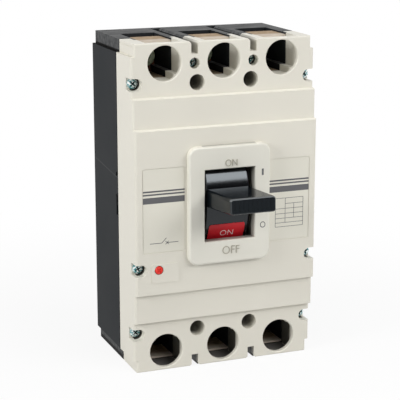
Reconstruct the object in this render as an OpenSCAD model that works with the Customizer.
// Moulded case circuit breaker, three poles.
// X runs to the right of the front face, Y runs into the panel, Z runs up.
// The origin is the centre of the back face, so "depth" below is a distance in front of the panel.

/* [Housing] */
// Overall width of the case
body_w = 150; // [146:1:185]
// Overall height of the case
body_h = 257; // [252:1:310]
// Depth of the dark base, up to the seam with the cover
base_depth = 61; // [57:0.5:64]
// Depth of the lowest front face, at the two ends
end_face_depth = 94; // [90:0.5:113]
// Height of the outer step of the cover
outer_step = 4.2; // [2:0.1:7]
// Height of the inner step of the cover
inner_step = 3.6; // [2:0.1:7]
// Distance of the outer step from the end of the case
outer_step_from_end = 41.5; // [38:0.5:48]
// Distance of the inner step from the end of the case
inner_step_from_end = 64.7; // [56:0.5:72]
// How far each side steps in at the ends
end_inset = 2.6; // [1:0.1:4]
// Length of the stepped-in ends
end_length = 9.8; // [6:0.2:14]
// Radius along the long front edges of the cover
edge_r = 2; // [0.5:0.1:3]
// Radius along the short front edges of the cover
end_edge_r = 1; // [0.5:0.1:2]
// Width of the shadow gap where the cover meets the base
seam_gap_w = 1.2; // [0.6:0.1:2]

/* [Poles and terminals] */
// Distance between neighbouring poles
pole_pitch = 48; // [46:0.5:49]
// Clear width of a terminal cell
cell_w = 28; // [22:0.5:28]
// Length of a terminal cell, measured from the end of the case
cell_length = 29.5; // [29.5:0.5:31]
// Size of the square posts in the inner corners of a cell
cell_corner = 5; // [4:0.5:6]
// Diameter of the tool access hole above a terminal
access_d = 27; // [18:0.5:27]
// Distance of the terminal bolts and their access holes from the end of the case
access_from_end = 15.6; // [14.6:0.1:15.8]
// Depth of the floor that carries the terminal bars
bar_floor_depth = 31; // [26:0.5:34]
// Thickness of a terminal bar
bar_t = 5.5; // [3:0.5:8]
// Gap on each side of a terminal bar
bar_gap = 2; // [1:0.1:4]
// Diameter of the heads of the terminal bolts
bolt_head_d = 16; // [14:0.5:18]
// Width across flats of the sockets in the terminal bolts
bolt_socket_af = 8; // [6:1:10]
// Width of the slots for phase barriers
slot_w = 5.6; // [3:0.1:6.5]
// Length of the slots for phase barriers
slot_length = 9.5; // [6:0.5:11]
// Thickness left behind the slots for phase barriers
slot_back = 6; // [3:0.5:12]
// Size of the bevels that lead a barrier into its slot
slot_lead = 1.5; // [0.5:0.1:2.5]

/* [Fixing] */
// Distance between the mounting holes across the case
mount_w = 44; // [43.5:0.5:46]
// Distance between the mounting holes along the case
mount_h = 195; // [190:1:196]
// Diameter of the mounting holes
mount_d = 7; // [5:0.5:8]
// Diameter of the wide part of the mounting holes
mount_wide_d = 12.4; // [10:0.2:12.6]
// Diameter of the heads of the cover screws
screw_head_d = 8; // [6:0.2:8.4]

/* [Handle] */
// Width of the handle
handle_w = 36.5; // [30:0.5:44]
// Thickness of the handle where it leaves the shield
handle_t = 14.2; // [11:0.2:16]
// Thickness of the handle at its tip
handle_tip_t = 12; // [9:0.2:14]
// How far the handle stands out of the frame
handle_out = 45; // [30:1:55]
// Angle of the handle above level as drawn
handle_angle = 5; // [0:0.5:8]
// Furthest angle of the handle above or below level
handle_limit = 16.5; // [12:0.5:17]
// Clearance between the handle and the edges of the window
handle_gap = 2.6; // [1.5:0.1:4]
// Depth of the pivot of the handle
pivot_depth = 45.5; // [42:0.5:48]
// How far the shield lies behind the face of the frame
shield_recess = 3.5; // [2.5:0.1:5]
// Width of the raised frame
frame_w = 67; // [62:1:74]
// Height of the raised frame
frame_h = 92.5; // [84:0.5:96]
// How far the frame stands proud of the cover
frame_t = 5.2; // [3.6:0.2:8]
// Radius of the corners of the frame
frame_corner_r = 7.5; // [4:0.5:10]
// Radius around the front edge of the frame
frame_edge_r = 1.8; // [0.6:0.1:3]
// Height of the centre of the frame above mid height
frame_z = 3.7; // [0:0.1:5]

/* [Trip button and labels] */
// Diameter of the trip button
button_d = 6.2; // [5:0.1:8]
// Distance of the trip button from the middle of the case
button_x = -56.6; // [-58:0.1:-52]
// Height of the trip button
button_z = -44.2; // [-48:0.1:-42]
// Travel of the trip button
button_travel = 3; // [2:0.5:4]
// Width of a side label
label_w = 33.6; // [28:0.2:34]
// Height of a side label
label_h = 65; // [50:0.5:68]
// Gap between a side label and the frame
label_gap = 1.8; // [0.8:0.1:3]
// Height of the middle of the side labels
label_z = 2.4; // [0:0.1:6]

/* [Hidden] */
// Front faces
outer_face_depth = end_face_depth + outer_step;
main_face_depth = outer_face_depth + inner_step;
frame_depth = main_face_depth + frame_t;
body_top = body_h / 2;
outer_step_z = body_top - outer_step_from_end;
inner_step_z = body_top - inner_step_from_end;
riser_slope = 1;

// Skin of the cover, and clearances between pieces
skin = 4;
seat = 0.1;
round_seat = 0.2;
hole_chamfer = 0.5;
seam_gap_t = 0.6;

// The wide part of the mounting holes ends just in front of the base
mount_wide_depth = base_depth + 3;

// Groove along the sides of the cover below its upper end
rim_groove_from_end = 2.4;
rim_groove_w = 0.5;
rim_groove_t = 0.4;

// Cells: the base reaches up into the cover as a collar around each cell
collar_t = 1.5;
collar_gap = 0.3;
collar_depth = base_depth + 9;
access_z = body_top - access_from_end;
end_overrun = 2;
end_plate_t = 1.5;
end_plate_inset = 1.2;
end_plate_depth = bar_floor_depth + 13;

// Recesses in the back of the base
back_panel_w = 30;
back_panel_h = 120;
back_panel_t = 2;
back_pocket_w = 20;
back_pocket_h = 16;
back_pocket_t = 8;
back_corner = 3;

// Openings for leads in the sides of the base, at the seam
lead_slot_t = 3;
lead_slot_depth = 5;
long_lead_slot_z = -1.1;
long_lead_slot_h = 17;
short_lead_slot_z = 23.4;
short_lead_slot_h = 3.6;

// Screws of the cover
screw_head_t = 3;
screw_shank_d = 4;
screw_bite = 10;
recess_l = 4.6;
recess_w = 1.1;
recess_t = 1.5;
notch_gap = 0.8;
notch_d = screw_head_d + 2 * notch_gap;
notch_t = 11;
notch_run = 12;
notch_x = body_w / 2 - 4.4;
notch_upper_z = body_top - 30.7;
notch_middle_z = -44;
end_screw_x = pole_pitch / 2;
end_screw_z = body_top - 16.5;

// Terminal bars and bolts
bar_w = cell_w - 2 * bar_gap;
bar_inset = 4;
bar_notch = cell_corner - bar_gap + seat;
bolt_shank_d = 10;
bolt_shank_l = 16;
washer_d = 20;
washer_t = 2.4;
spring_washer_d = 17;
spring_washer_t = 2.2;
bolt_head_t = 9;
bolt_socket_t = 5;

// Shield and the space it swings in
handle_reach = frame_depth + handle_out - pivot_depth;
window_w = handle_w + 2 * handle_gap;
window_half_h = (frame_depth - pivot_depth) * tan(handle_limit) + handle_t / 2 / cos(handle_limit) + handle_gap;
window_h = 2 * window_half_h;
shield_r = frame_depth - shield_recess - pivot_depth;
shield_half_w = handle_w / 2;
shield_t = 3;
shield_edge_r = 1.5;
shield_half_angle = handle_limit + asin(window_half_h / shield_r) + 1.5;
cheek_t = 3;
hub_r = 8;
cavity_half_w = window_w / 2 + 2.8;
cavity_gap = 3.5;
skin_at_window = 2.4;
pin_d = 6;
pin_half_l = cavity_half_w + 3.5;

// Handle
handle_r = 2.2;
tip_r = 1.5;
tongue_t = 9;
tongue_half_w = handle_w / 2 - 3.2;
tongue_l = 6;
grip_n = 9;
grip_pitch = 3.6;
grip_r = 1;
grip_t = 0.4;
grip_l = handle_tip_t - 4;

// Film on the shield that shows the position of the handle
film_w = handle_w - 6.5;
film_h = 17;
film_t = 0.3;
film_gap = 0.05;
film_r = 2;
film_angle = -30;

// Trip button on its raised field
button_gap = 0.5;
button_l = 12;
button_proud = 0.9;
button_slot_w = 0.9;
button_slot_t = 0.8;
field_w = 22;
field_h = 15;
field_t = 0.5;
field_r = 1.6;
field_dx = 5.1;
field_dz = -2.7;

// Side labels in their shallow recesses
label_x = frame_w / 2 + label_gap + label_w / 2;
label_t = 0.25;
label_r = 1;
label_recess_t = 0.5;
label_recess_gap = 0.4;
label_depth = main_face_depth - label_recess_t;

far = 400;
sliver = 0.01;
fine = 64;
hull_sides = 32;

// ---------- helpers ----------

// Flat outline in the front view, extruded from one depth to another
module slab(from, to) {
    translate([0, -from, 0])
        rotate([90, 0, 0])
            linear_extrude(to - from)
                children();
}

// Round bar pointing out of the panel
module peg(x, z, d, from, to) {
    translate([x, -from, z])
        rotate([90, 0, 0])
            cylinder(d = d, h = to - from, $fn = fine);
}

// Round bar that grows from one diameter to another
module taper(x, z, d1, d2, from, to) {
    translate([x, -from, z])
        rotate([90, 0, 0])
            cylinder(d1 = d1, d2 = d2, h = to - from, $fn = fine);
}

// Block given by its middle in the front view and two depths
module block(x, z, w, h, from, to) {
    translate([x - w / 2, -to, z - h / 2])
        cube([w, to - from, h]);
}

// Rectangle with true round corners
module round_rect(w, h, r, sides = fine) {
    square([w - 2 * r, h], center = true);
    square([w, h - 2 * r], center = true);
    for (sx = [-1, 1])
        for (sz = [-1, 1])
            translate([sx * (w / 2 - r), sz * (h / 2 - r)])
                circle(r = r, $fn = sides);
}

// Rectangle with its corners cut off
module cut_rect(w, h, cut) {
    polygon([
        [-w / 2, -h / 2 + cut],
        [-w / 2 + cut, -h / 2],
        [w / 2 - cut, -h / 2],
        [w / 2, -h / 2 + cut],
        [w / 2, h / 2 - cut],
        [w / 2 - cut, h / 2],
        [-w / 2 + cut, h / 2],
        [-w / 2, h / 2 - cut]
    ]);
}

// Hole with a chamfered mouth in a front face
module mouth(x, z, d, from, face) {
    peg(x, z, d, from, face + 1);
    taper(x, z, d, d + 4 * hole_chamfer, face - hole_chamfer, face + hole_chamfer);
}

// Runs its children about the pivot of the handle
module about_pivot(angle) {
    translate([0, -pivot_depth, frame_z])
        rotate([-angle, 0, 0])
            children();
}

// Round bar along X, centred on the pivot
module cross_bar(d, half_l) {
    rotate([0, 90, 0])
        cylinder(d = d, h = 2 * half_l, center = true, $fn = fine);
}

function pole_x(n) = (n - 2) * pole_pitch;

// ---------- housing ----------

// Front view of the case: a wide middle and slightly narrower ends
module case_outline(inset) {
    square([body_w - 2 * inset, body_h - 2 * end_length - 2 * inset], center = true);
    square([body_w - 2 * end_inset - 2 * inset, body_h - 2 * inset], center = true);
}

// One level of the cover with rounded long edges
module cover_level(half_h, depth, w) {
    translate([0, 0, -half_h])
        linear_extrude(2 * half_h) {
            translate([-w / 2, -depth + edge_r])
                square([w, depth - edge_r - base_depth]);
            translate([-w / 2 + edge_r, -depth])
                square([w - 2 * edge_r, edge_r]);
            for (sx = [-1, 1])
                translate([sx * (w / 2 - edge_r), -depth + edge_r])
                    circle(r = edge_r, $fn = fine);
        }
}

// Side view of the cover with its sloping risers and rounded ends
module cover_profile() {
    rotate([0, -90, 0])
        linear_extrude(far, center = true) {
            polygon([
                [-body_top, -base_depth],
                [-body_top, -end_face_depth + end_edge_r],
                [-body_top + end_edge_r, -end_face_depth],
                [-outer_step_z - riser_slope, -end_face_depth],
                [-outer_step_z, -outer_face_depth],
                [-inner_step_z - riser_slope, -outer_face_depth],
                [-inner_step_z, -main_face_depth],
                [inner_step_z, -main_face_depth],
                [inner_step_z + riser_slope, -outer_face_depth],
                [outer_step_z, -outer_face_depth],
                [outer_step_z + riser_slope, -end_face_depth],
                [body_top - end_edge_r, -end_face_depth],
                [body_top, -end_face_depth + end_edge_r],
                [body_top, -base_depth]
            ]);
            for (side = [-1, 1])
                translate([side * (body_top - end_edge_r), -end_face_depth + end_edge_r])
                    circle(r = end_edge_r, $fn = fine);
        }
}

// Space swept by the shield behind the window
module handle_cavity() {
    intersection() {
        about_pivot(0)
            cross_bar(2 * (shield_r + cavity_gap), cavity_half_w);
        block(0, frame_z, 2 * cavity_half_w, far, pivot_depth - hub_r - cavity_gap,
            main_face_depth - skin_at_window);
    }
}

// Outline of a cell or of what lies in it: open at one end, with square posts in the inner corners
module cell_outline(half_w, from, to, post_w, post_l) {
    polygon([
        [-half_w, from],
        [-half_w, post_l - to],
        [post_w - half_w, post_l - to],
        [post_w - half_w, -to],
        [half_w - post_w, -to],
        [half_w - post_w, post_l - to],
        [half_w, post_l - to],
        [half_w, from]
    ]);
}

// Runs its children from the end of the case inwards; side is 1 for the line end and -1 for the load end
module at_pole_end(n, side) {
    translate([pole_x(n), side * body_top])
        rotate(side > 0 ? 0 : 180)
            children();
}

// Terminal cell, open at its end
module cell(n, side, grow, from, to) {
    slab(from, to)
        at_pole_end(n, side)
            cell_outline(cell_w / 2 + grow, end_overrun, cell_length + grow, cell_corner, cell_corner);
}

module each_cell() {
    for (n = [1:3])
        for (side = [-1, 1]) {
            $n = n;
            $side = side;
            children();
        }
}

// Walls of the base that reach up into the cover around a cell
module collar(n, side) {
    difference() {
        cell(n, side, collar_t, base_depth - 1, collar_depth);
        cell(n, side, 0, base_depth - 2, collar_depth + 1);
        block(pole_x(n), side * (body_top + far / 2), far, far, base_depth - 2, collar_depth + 1);
    }
}

module mount_holes(d, from, to) {
    for (sx = [-1, 1])
        for (sz = [-1, 1])
            peg(sx * mount_w / 2, sz * mount_h / 2, d, from, to);
}

// Slots between the poles; each widens at the end of the case to lead the barrier in
module barrier_slots(from, to) {
    half_w = slot_w / 2;
    mouth_half_w = half_w + slot_lead + end_overrun;
    for (side = [-1, 1])
        for (n = [1.5, 2.5])
            slab(from, to)
                at_pole_end(n, side)
                    polygon([
                        [-half_w, -slot_length],
                        [half_w, -slot_length],
                        [half_w, -slot_lead],
                        [mouth_half_w, end_overrun],
                        [-mouth_half_w, end_overrun],
                        [-half_w, -slot_lead]
                    ]);
}

// Runs its children in line with every cover screw: $side is its side of the case, $face the depth of the front
module each_cover_screw() {
    places = [[notch_upper_z, end_face_depth], [-notch_upper_z, end_face_depth], [notch_middle_z, main_face_depth]];
    for (side = [-1, 1]) {
        for (place = places) {
            $face = place[1];
            $side = side;
            translate([side * notch_x, 0, place[0]])
                children();
        }
        $face = end_face_depth;
        $side = 0;
        translate([side * end_screw_x, 0, end_screw_z])
            children();
    }
}

// Shallow panels behind the poles and deeper pockets behind the terminals
module back_recesses() {
    for (n = [1:3]) {
        slab(-1, back_panel_t)
            translate([pole_x(n), 0])
                cut_rect(back_panel_w, back_panel_h, back_corner);
        for (side = [-1, 1])
            slab(-1, back_pocket_t)
                translate([pole_x(n), side * access_z])
                    cut_rect(back_pocket_w, back_pocket_h, back_corner);
    }
}

// Shallow recess that takes a side label
module label_recess(side) {
    slab(label_depth, far)
        translate([side * label_x, label_z])
            round_rect(label_w + 2 * label_recess_gap, label_h + 2 * label_recess_gap, label_r + label_recess_gap);
}

module rim_groove(side) {
    block(side * (body_w / 2 - end_inset), body_top - rim_groove_from_end, 2 * rim_groove_t, rim_groove_w,
        base_depth - 1, far);
}

module lead_slot(side, z, h) {
    block(side * body_w / 2, z, 2 * lead_slot_t, h, base_depth - lead_slot_depth, base_depth + 1);
}

module base() {
    color([0.2, 0.21, 0.22])
        difference() {
            union() {
                slab(0, base_depth - seam_gap_w)
                    case_outline(0);
                slab(base_depth - seam_gap_w - 1, base_depth)
                    case_outline(seam_gap_t);
                each_cell()
                    collar($n, $side);
            }
            each_cell() {
                cell($n, $side, 0, bar_floor_depth, collar_depth + 2);
                peg(pole_x($n), $side * access_z, bolt_shank_d + 2 * round_seat,
                    bar_floor_depth + bar_t - bolt_shank_l - 1, bar_floor_depth + 1);
            }
            mount_holes(mount_d, -1, base_depth + 1);
            barrier_slots(slot_back, base_depth + 1);
            handle_cavity();
            about_pivot(0)
                cross_bar(pin_d + 2 * seat, pin_half_l + seat);
            block(0, frame_z, 2 * (pin_half_l + seat), pin_d + 2 * seat, pivot_depth, base_depth + 1);
            each_cover_screw()
                peg(0, 0, screw_shank_d + 2 * round_seat, base_depth - screw_bite - 1, base_depth + 1);
            back_recesses();
            for (side = [-1, 1]) {
                lead_slot(side, long_lead_slot_z, long_lead_slot_h);
                lead_slot(side, short_lead_slot_z, short_lead_slot_h);
            }
        }
}

// Recess for a cover screw: half open at the sides of the case, round between the poles
module screw_recess() {
    floor_depth = $face - notch_t;
    d = $side == 0 ? screw_head_d + 2 * round_seat : notch_d;
    peg(0, 0, d, floor_depth, $face + 1);
    if ($side != 0)
        block($side * notch_run / 2, 0, notch_run, notch_d, floor_depth, $face + 1);
    peg(0, 0, screw_shank_d + 2 * round_seat, base_depth - 1, floor_depth + 1);
}

module cover() {
    color([0.87, 0.86, 0.81])
        difference() {
            union() {
                intersection() {
                    union() {
                        cover_level(body_top, end_face_depth, body_w - 2 * end_inset);
                        cover_level(body_top - end_length, end_face_depth, body_w);
                        cover_level(outer_step_z + riser_slope, outer_face_depth, body_w);
                        cover_level(inner_step_z + riser_slope, main_face_depth, body_w);
                    }
                    cover_profile();
                }
                slab(main_face_depth - 1, main_face_depth + field_t)
                    translate([button_x + field_dx, button_z + field_dz])
                        round_rect(field_w, field_h, field_r);
            }
            each_cell() {
                cell($n, $side, 0, base_depth - 1, end_face_depth - skin);
                cell($n, $side, collar_t + collar_gap, base_depth - 1, collar_depth + collar_gap);
                mouth(pole_x($n), $side * access_z, access_d, end_face_depth - skin - 1, end_face_depth);
            }
            mount_holes(mount_d, base_depth - 1, far);
            mount_holes(mount_wide_d, mount_wide_depth, far);
            barrier_slots(base_depth - 1, far);
            handle_cavity();
            block(0, frame_z, window_w, window_h, main_face_depth - 2 * skin_at_window, far);
            peg(button_x, button_z, button_d + 2 * button_gap, main_face_depth - button_l - button_travel - 1, far);
            each_cover_screw()
                screw_recess();
            for (side = [-1, 1]) {
                label_recess(side);
                rim_groove(side);
            }
        }
}

// Half of the section through the frame, rounded at its outer front edge
module frame_section(reach) {
    translate([0, main_face_depth]) {
        square([reach - frame_edge_r, frame_t]);
        square([reach, frame_t - frame_edge_r]);
        translate([reach - frame_edge_r, frame_t - frame_edge_r])
            circle(r = frame_edge_r, $fn = fine);
    }
}

// The section runs along the four sides and turns around the four corners
module frame_plate() {
    corner_x = frame_w / 2 - frame_corner_r;
    corner_z = frame_h / 2 - frame_corner_r;
    for (i = [0:3]) {
        upright = i % 2 == 0;
        rotate([0, 90 * i, 0])
            rotate([180, 0, 0])
                linear_extrude(2 * (upright ? corner_z : corner_x), center = true)
                    frame_section(upright ? frame_w / 2 : frame_h / 2);
        translate([(i == 0 || i == 3 ? 1 : -1) * corner_x, 0, (i < 2 ? 1 : -1) * corner_z])
            rotate([0, -90 * i, 0])
                rotate([90, 0, 0])
                    rotate_extrude(angle = 90, $fn = fine)
                        frame_section(frame_corner_r);
    }
}

// Wedge that widens from the given width at the front face of the frame
module flare(w) {
    translate([0, -frame_depth, 0])
        linear_extrude(far, center = true)
            polygon([
                [-w / 2, hole_chamfer],
                [w / 2, hole_chamfer],
                [w / 2 + 2 * hole_chamfer, -hole_chamfer],
                [-w / 2 - 2 * hole_chamfer, -hole_chamfer]
            ]);
}

// Opening of the window with chamfered front edges
module window() {
    block(0, 0, window_w, window_h, 0, far);
    intersection() {
        flare(window_w);
        rotate([0, 90, 0])
            flare(window_h);
    }
}

module handle_frame() {
    color([0.88, 0.87, 0.83])
        translate([0, 0, frame_z])
            difference() {
                frame_plate();
                window();
            }
}

// ---------- handle ----------

module pivot_pin() {
    color([0.7, 0.71, 0.72])
        about_pivot(0)
            cross_bar(pin_d, pin_half_l);
}

// Wedge that keeps the part of a disc nearest the front
module front_wedge(half_angle, half_w) {
    rotate([0, 90, 0])
        linear_extrude(2 * half_w, center = true)
            polygon([
                [0, 0],
                [-far * sin(half_angle), -far * cos(half_angle)],
                [far * sin(half_angle), -far * cos(half_angle)]
            ]);
}

// Drum about the pivot with rounded rims
module drum(r, half_w, rim_r) {
    rotate([0, 90, 0])
        rotate_extrude($fn = fine) {
            translate([0, -half_w])
                square([r - rim_r, 2 * half_w]);
            translate([0, rim_r - half_w])
                square([r, 2 * (half_w - rim_r)]);
            for (s = [-1, 1])
                translate([r - rim_r, s * (half_w - rim_r)])
                    circle(r = rim_r, $fn = fine);
        }
}

// Bar through the shield's face that carries the handle
module tongue(clearance) {
    half_w = tongue_half_w + clearance;
    t = tongue_t + 2 * clearance;
    translate([-half_w, -shield_r - tongue_l, -t / 2])
        cube([2 * half_w, 2 * tongue_l, t]);
}

module handle_shield() {
    color([0.08, 0.08, 0.09])
        about_pivot(handle_angle)
            difference() {
                union() {
                    intersection() {
                        difference() {
                            drum(shield_r, shield_half_w, shield_edge_r);
                            cross_bar(2 * (shield_r - shield_t), shield_half_w - cheek_t);
                        }
                        front_wedge(shield_half_angle, shield_half_w + 1);
                    }
                    for (sx = [-1, 1])
                        translate([sx * (shield_half_w - cheek_t / 2), 0, 0])
                            cross_bar(2 * hub_r, cheek_t / 2);
                }
                cross_bar(pin_d + 2 * round_seat, far);
                tongue(seat);
            }
}

// Thin cross section of the handle, set in from its outline
module handle_section(distance, t, inset) {
    translate([0, -distance, 0])
        rotate([90, 0, 0])
            linear_extrude(sliver)
                round_rect(handle_w - 2 * inset, t - 2 * inset, handle_r - inset, hull_sides);
}

// Tapered lever with soft edges; its tip is rounded by smaller and smaller sections
module lever() {
    hull() {
        handle_section(shield_r - tongue_l, handle_t, 0);
        for (a = [0:18:90])
            handle_section(handle_reach - sliver - tip_r * (1 - sin(a)), handle_tip_t, tip_r * (1 - cos(a)));
    }
}

module handle() {
    color([0.13, 0.14, 0.14])
        about_pivot(handle_angle)
            difference() {
                lever();
                difference() {
                    cross_bar(2 * (shield_r + seat), far);
                    tongue(0);
                }
                for (i = [0:grip_n - 1])
                    translate([(i - (grip_n - 1) / 2) * grip_pitch, grip_t - grip_r - handle_reach, 0])
                        cylinder(r = grip_r, h = grip_l, center = true, $fn = fine);
            }
}

module position_label() {
    color([0.75, 0.1, 0.14])
        about_pivot(handle_angle)
            intersection() {
                difference() {
                    cross_bar(2 * (shield_r + film_gap + film_t), film_w);
                    cross_bar(2 * (shield_r + film_gap), far);
                }
                rotate([-film_angle, 0, 0])
                    slab(shield_r - film_h, far)
                        round_rect(film_w, film_h, film_r);
            }
}

module trip_button() {
    face = main_face_depth + button_proud;
    color([0.8, 0.12, 0.1])
        difference() {
            union() {
                peg(button_x, button_z, button_d, main_face_depth - button_l, face - hole_chamfer);
                taper(button_x, button_z, button_d, button_d - 2 * hole_chamfer, face - hole_chamfer, face);
            }
            for (turn = [45, 135])
                translate([button_x, -face, button_z])
                    rotate([0, turn, 0])
                        cube([button_d - 2, 2 * button_slot_t, button_slot_w], center = true);
        }
}

// ---------- terminals ----------

// Copper bar, notched around the posts of the cell
module bar(n, side) {
    color([0.72, 0.45, 0.3])
        difference() {
            slab(bar_floor_depth, bar_floor_depth + bar_t)
                at_pole_end(n, side)
                    cell_outline(bar_w / 2, -bar_inset, cell_length - seat, bar_notch, cell_corner);
            peg(pole_x(n), side * access_z, bolt_shank_d + 2 * round_seat, 0, far);
        }
}

// Socket head bolt with a flat washer and a spring washer
module bolt(n, side) {
    x = pole_x(n);
    z = side * access_z;
    washer_depth = bar_floor_depth + bar_t;
    spring_depth = washer_depth + washer_t;
    head_depth = spring_depth + spring_washer_t;
    top_depth = head_depth + bolt_head_t;
    color([0.75, 0.76, 0.77])
        difference() {
            union() {
                peg(x, z, bolt_shank_d, washer_depth - bolt_shank_l, head_depth + 1);
                peg(x, z, washer_d, washer_depth, spring_depth);
                peg(x, z, spring_washer_d, spring_depth, head_depth);
                peg(x, z, bolt_head_d, head_depth, top_depth - hole_chamfer);
                taper(x, z, bolt_head_d, bolt_head_d - 2 * hole_chamfer, top_depth - hole_chamfer, top_depth);
            }
            translate([x, bolt_socket_t - top_depth, z])
                rotate([90, 0, 0])
                    cylinder(d = bolt_socket_af / cos(30), h = bolt_socket_t + 1, $fn = 6);
        }
}

module end_plate(n, side) {
    color([0.62, 0.42, 0.27])
        block(pole_x(n), side * (body_top - end_plate_inset - end_plate_t / 2), cell_w - 2 * seat, end_plate_t,
            end_plate_depth, collar_depth);
}

module line_bar_1() { bar(1, 1); }
module line_bar_2() { bar(2, 1); }
module line_bar_3() { bar(3, 1); }
module load_bar_1() { bar(1, -1); }
module load_bar_2() { bar(2, -1); }
module load_bar_3() { bar(3, -1); }
module line_bolt_1() { bolt(1, 1); }
module line_bolt_2() { bolt(2, 1); }
module line_bolt_3() { bolt(3, 1); }
module load_bolt_1() { bolt(1, -1); }
module load_bolt_2() { bolt(2, -1); }
module load_bolt_3() { bolt(3, -1); }
module line_plate_1() { end_plate(1, 1); }
module line_plate_2() { end_plate(2, 1); }
module line_plate_3() { end_plate(3, 1); }
module load_plate_1() { end_plate(1, -1); }
module load_plate_2() { end_plate(2, -1); }
module load_plate_3() { end_plate(3, -1); }

// ---------- screws and labels ----------

// Pan head screw with a cross recess that bites into the base
module cover_screw(x, z, face) {
    seat_depth = face - notch_t;
    head_d = screw_head_d - 2 * seat;
    rim_t = screw_head_t / 2;
    color([0.72, 0.74, 0.76])
        difference() {
            union() {
                peg(x, z, screw_shank_d, base_depth - screw_bite, seat_depth + 1);
                peg(x, z, head_d, seat_depth, seat_depth + rim_t);
                taper(x, z, head_d, head_d - screw_head_t, seat_depth + rim_t, seat_depth + screw_head_t);
            }
            for (turn = [0, 90])
                translate([x, -seat_depth - screw_head_t, z])
                    rotate([0, turn, 0])
                        cube([recess_l, 2 * recess_t, recess_w], center = true);
        }
}

module end_screw_left() { cover_screw(-end_screw_x, end_screw_z, end_face_depth); }
module end_screw_right() { cover_screw(end_screw_x, end_screw_z, end_face_depth); }
module upper_screw_left() { cover_screw(-notch_x, notch_upper_z, end_face_depth); }
module upper_screw_right() { cover_screw(notch_x, notch_upper_z, end_face_depth); }
module middle_screw_left() { cover_screw(-notch_x, notch_middle_z, main_face_depth); }
module middle_screw_right() { cover_screw(notch_x, notch_middle_z, main_face_depth); }
module lower_screw_left() { cover_screw(-notch_x, -notch_upper_z, end_face_depth); }
module lower_screw_right() { cover_screw(notch_x, -notch_upper_z, end_face_depth); }

module side_label(side) {
    color([0.9, 0.89, 0.84])
        slab(label_depth, label_depth + label_t)
            translate([side * label_x, label_z])
                round_rect(label_w, label_h, label_r);
}

module rating_label() { side_label(-1); }
module data_label() { side_label(1); }

base();
cover();
handle_frame();
pivot_pin();
handle_shield();
handle();
position_label();
trip_button();
line_bar_1();
line_bar_2();
line_bar_3();
load_bar_1();
load_bar_2();
load_bar_3();
line_bolt_1();
line_bolt_2();
line_bolt_3();
load_bolt_1();
load_bolt_2();
load_bolt_3();
line_plate_1();
line_plate_2();
line_plate_3();
load_plate_1();
load_plate_2();
load_plate_3();
end_screw_left();
end_screw_right();
upper_screw_left();
upper_screw_right();
middle_screw_left();
middle_screw_right();
lower_screw_left();
lower_screw_right();
rating_label();
data_label();
